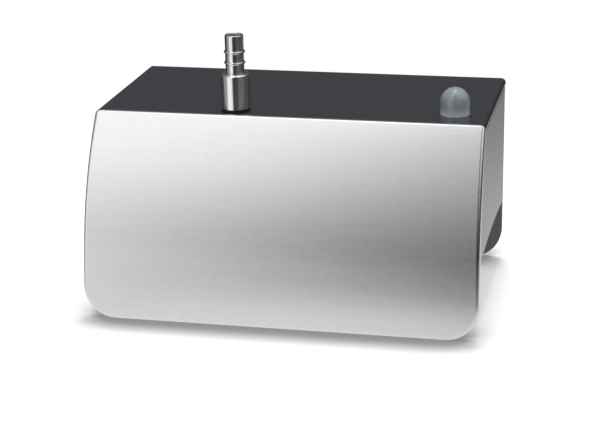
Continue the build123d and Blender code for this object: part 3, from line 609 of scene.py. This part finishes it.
def add_contacts():
    """The spring wires of both sockets."""
    pattern = contact_tree()
    boxes = loose_boxes("jack_contacts")
    wire = boxes[0][1].x - boxes[0][0].x
    run = boxes[0][1].z - boxes[0][0].z
    places = [(middle(corners, 0), middle(corners, 1), corners[0].z) for corners in boxes]
    values = {"Wire": wire, "Run": run, "Bow": WIRE_BOW, "Turn": (0, 0, 0)}
    values["Finish"] = finishes["gold_contact"]
    add_piece("jack_contact_set", [grown(pattern, places, values)], "jack_contacts")


add_screws()
add_contacts()


# ---- Studio
def studio_world():
    """White to the eye, even to matt surfaces, and a studio of panels and dark cards to glossy ones."""
    world = bpy.data.worlds.new("studio")
    world.use_nodes = True
    world.cycles.sampling_method = "NONE"
    tree = world.node_tree
    tree.nodes.clear()
    x, y, z = axes(tree, add_node(tree, "ShaderNodeTexCoord", output="Generated"))
    azimuth = x.math("ARCTAN2", x, 0.0 - y) * math.degrees(1)
    height = z.math("ARCSINE", z) * math.degrees(1)
    edge = azimuth - LEFT_BOX_SLANT * height.linear(0, SLANT_TOP, 0, SLANT_TOP)
    left_box = edge.smooth(*LEFT_BOX_END) * height.smooth(*LEFT_BOX_HEIGHTS) * azimuth.smooth(*LEFT_BOX_START)
    left_card = azimuth.smooth(*LEFT_CARD_END) * azimuth.smooth(*LEFT_CARD_START)
    overhead = height.smooth(*OVERHEAD_HEIGHTS)
    top_box = height.smooth(*TOP_BOX_HEIGHTS) * azimuth.smooth(*TOP_BOX_END)
    right_box = azimuth.smooth(*RIGHT_BOX_START) * azimuth.smooth(*RIGHT_BOX_END)
    right_box = right_box * height.smooth(*RIGHT_BOX_HEIGHTS)
    upper = left_box + overhead + top_box + right_box + left_card
    stripe = azimuth.smooth(*STRIPE_END) * azimuth.smooth(*STRIPE_START)
    right_card = azimuth.smooth(*RIGHT_CARD_START) * azimuth.smooth(*RIGHT_CARD_END)
    back_card = azimuth.smooth(*BACK_CARD_START)
    dim_card = azimuth.smooth(*DIM_CARD_START)
    lower = stripe + left_card + dim_card + right_card + back_card + LOWER_LEVEL
    rise = height.smooth(*HORIZON)
    glossy = rise * upper + (1.0 - rise) * lower
    camera_ray, shiny = ray_kinds(tree)
    level = shiny * glossy + (1.0 - shiny) * AMBIENT
    level = camera_ray + (1.0 - camera_ray) * level
    background = add_node(tree, "ShaderNodeBackground", {}, {"Color": WHITE, "Strength": level})
    add_node(tree, "ShaderNodeOutputWorld", {}, {"Surface": background})
    bpy.context.scene.world = world


def pale_floor():
    """A white floor that keeps the part's soft shadow from the key light, with a painted contact shadow round
    the part, melts into the white and is clear from below.
    """
    mesh = bpy.data.meshes.new("floor")
    signs = ((-1, -1), (1, -1), (1, 1), (-1, 1))
    corners = [(FLOOR_HALF * across, FLOOR_HALF * along, 0) for across, along in signs]
    mesh.from_pydata(corners, [], [(0, 1, 2, 3)])
    floor = bpy.data.objects.new("floor", mesh)
    bpy.context.scene.collection.objects.link(floor)
    material, tree = new_material("floor_white")
    place = object_place(tree)
    across, depth = axes(tree, place)[:2]
    inputs = {0: place, 1: SHINE_CENTRE}
    offset = add_node(tree, "ShaderNodeVectorMath", {"operation": "DISTANCE"}, inputs, output="Value")
    camera_ray, shiny = ray_kinds(tree)
    # painted contact shadow: an occlusion mask darkens the floor's colour near the part
    inputs = {"Color": WHITE, "Distance": CONTACT_REACH}
    openness = add_node(tree, "ShaderNodeAmbientOcclusion", {"samples": CONTACT_SAMPLES}, inputs, output="AO")
    contact = openness.smooth(*CONTACT_RANGE, PAINTED_CONTACT_SHADE, 1.0)
    darkness = camera_ray * contact + (1.0 - camera_ray) * (1.0 - shiny)
    diffuse = add_node(tree, "ShaderNodeBsdfDiffuse", {}, {"Color": mix(tree, darkness, BLACK, FLOOR_SHADE)})
    glow = depth.smooth(*FOOT_RANGE, FLOOR_GLOW, FLOOR_GLOW * FOOT_GLOW)
    glow = glow * depth.smooth(*REAR_RANGE, 1.0, REAR_GLOW) * across.smooth(*SIDE_RANGE, 1.0, SIDE_GLOW)
    # the white lift for the eye is darkened by the same painted contact shadow
    strength = shiny * glow + camera_ray * contact * FLOOR_LIFT
    lift = add_node(tree, "ShaderNodeEmission", {}, {"Color": WHITE, "Strength": strength})
    white = add_node(tree, "ShaderNodeAddShader", {}, {0: diffuse, 1: lift})
    nothing = add_node(tree, "ShaderNodeBsdfTransparent", {}, {"Color": WHITE})
    seen = length_of(tree, place).smooth(*FLOOR_FADE)
    mirrored = offset.smooth(*SHINE_FADE)
    fade = camera_ray * seen + (1.0 - camera_ray) * mirrored
    from_below = add_node(tree, "ShaderNodeNewGeometry", output="Backfacing")
    fade = fade.math("MAXIMUM", fade, from_below)
    blend = add_node(tree, "ShaderNodeMixShader", {}, {"Fac": fade, 1: white, 2: nothing})
    add_node(tree, "ShaderNodeOutputMaterial", {}, {"Surface": blend})
    mesh.materials.append(material)


def soft_light(name, place, size, watts):
    """A square soft light that points at the part and isn't seen in its gloss."""
    data = bpy.data.lights.new(name, "AREA")
    data.shape = "SQUARE"
    data.size = size
    data.energy = watts
    light = bpy.data.objects.new(name, data)
    light.location = place
    light.rotation_euler = (-Vector(place)).to_track_quat("-Z", "Y").to_euler()
    light.visible_glossy = False
    light.visible_camera = False
    bpy.context.scene.collection.objects.link(light)


def add_camera():
    """The view at its fitted place."""
    data = bpy.data.cameras.new("camera")
    data.sensor_width = SENSOR
    data.lens = CAMERA_LENS
    camera = bpy.data.objects.new("camera", data)
    turn = Matrix.Rotation(math.radians(CAMERA_AZIMUTH), 4, "Z")
    tilt = Matrix.Rotation(math.radians(90 - CAMERA_ELEVATION), 4, "X")
    roll = Matrix.Rotation(math.radians(CAMERA_ROLL), 4, "Z")
    camera.matrix_world = Matrix.Translation(CAMERA_PLACE) @ turn @ tilt @ roll
    bpy.context.scene.collection.objects.link(camera)
    bpy.context.scene.camera = camera


studio_world()
pale_floor()
soft_light("key", KEY_PLACE, KEY_SIZE, KEY_WATTS)
add_camera()
bpy.context.scene.view_settings.view_transform = "Standard"
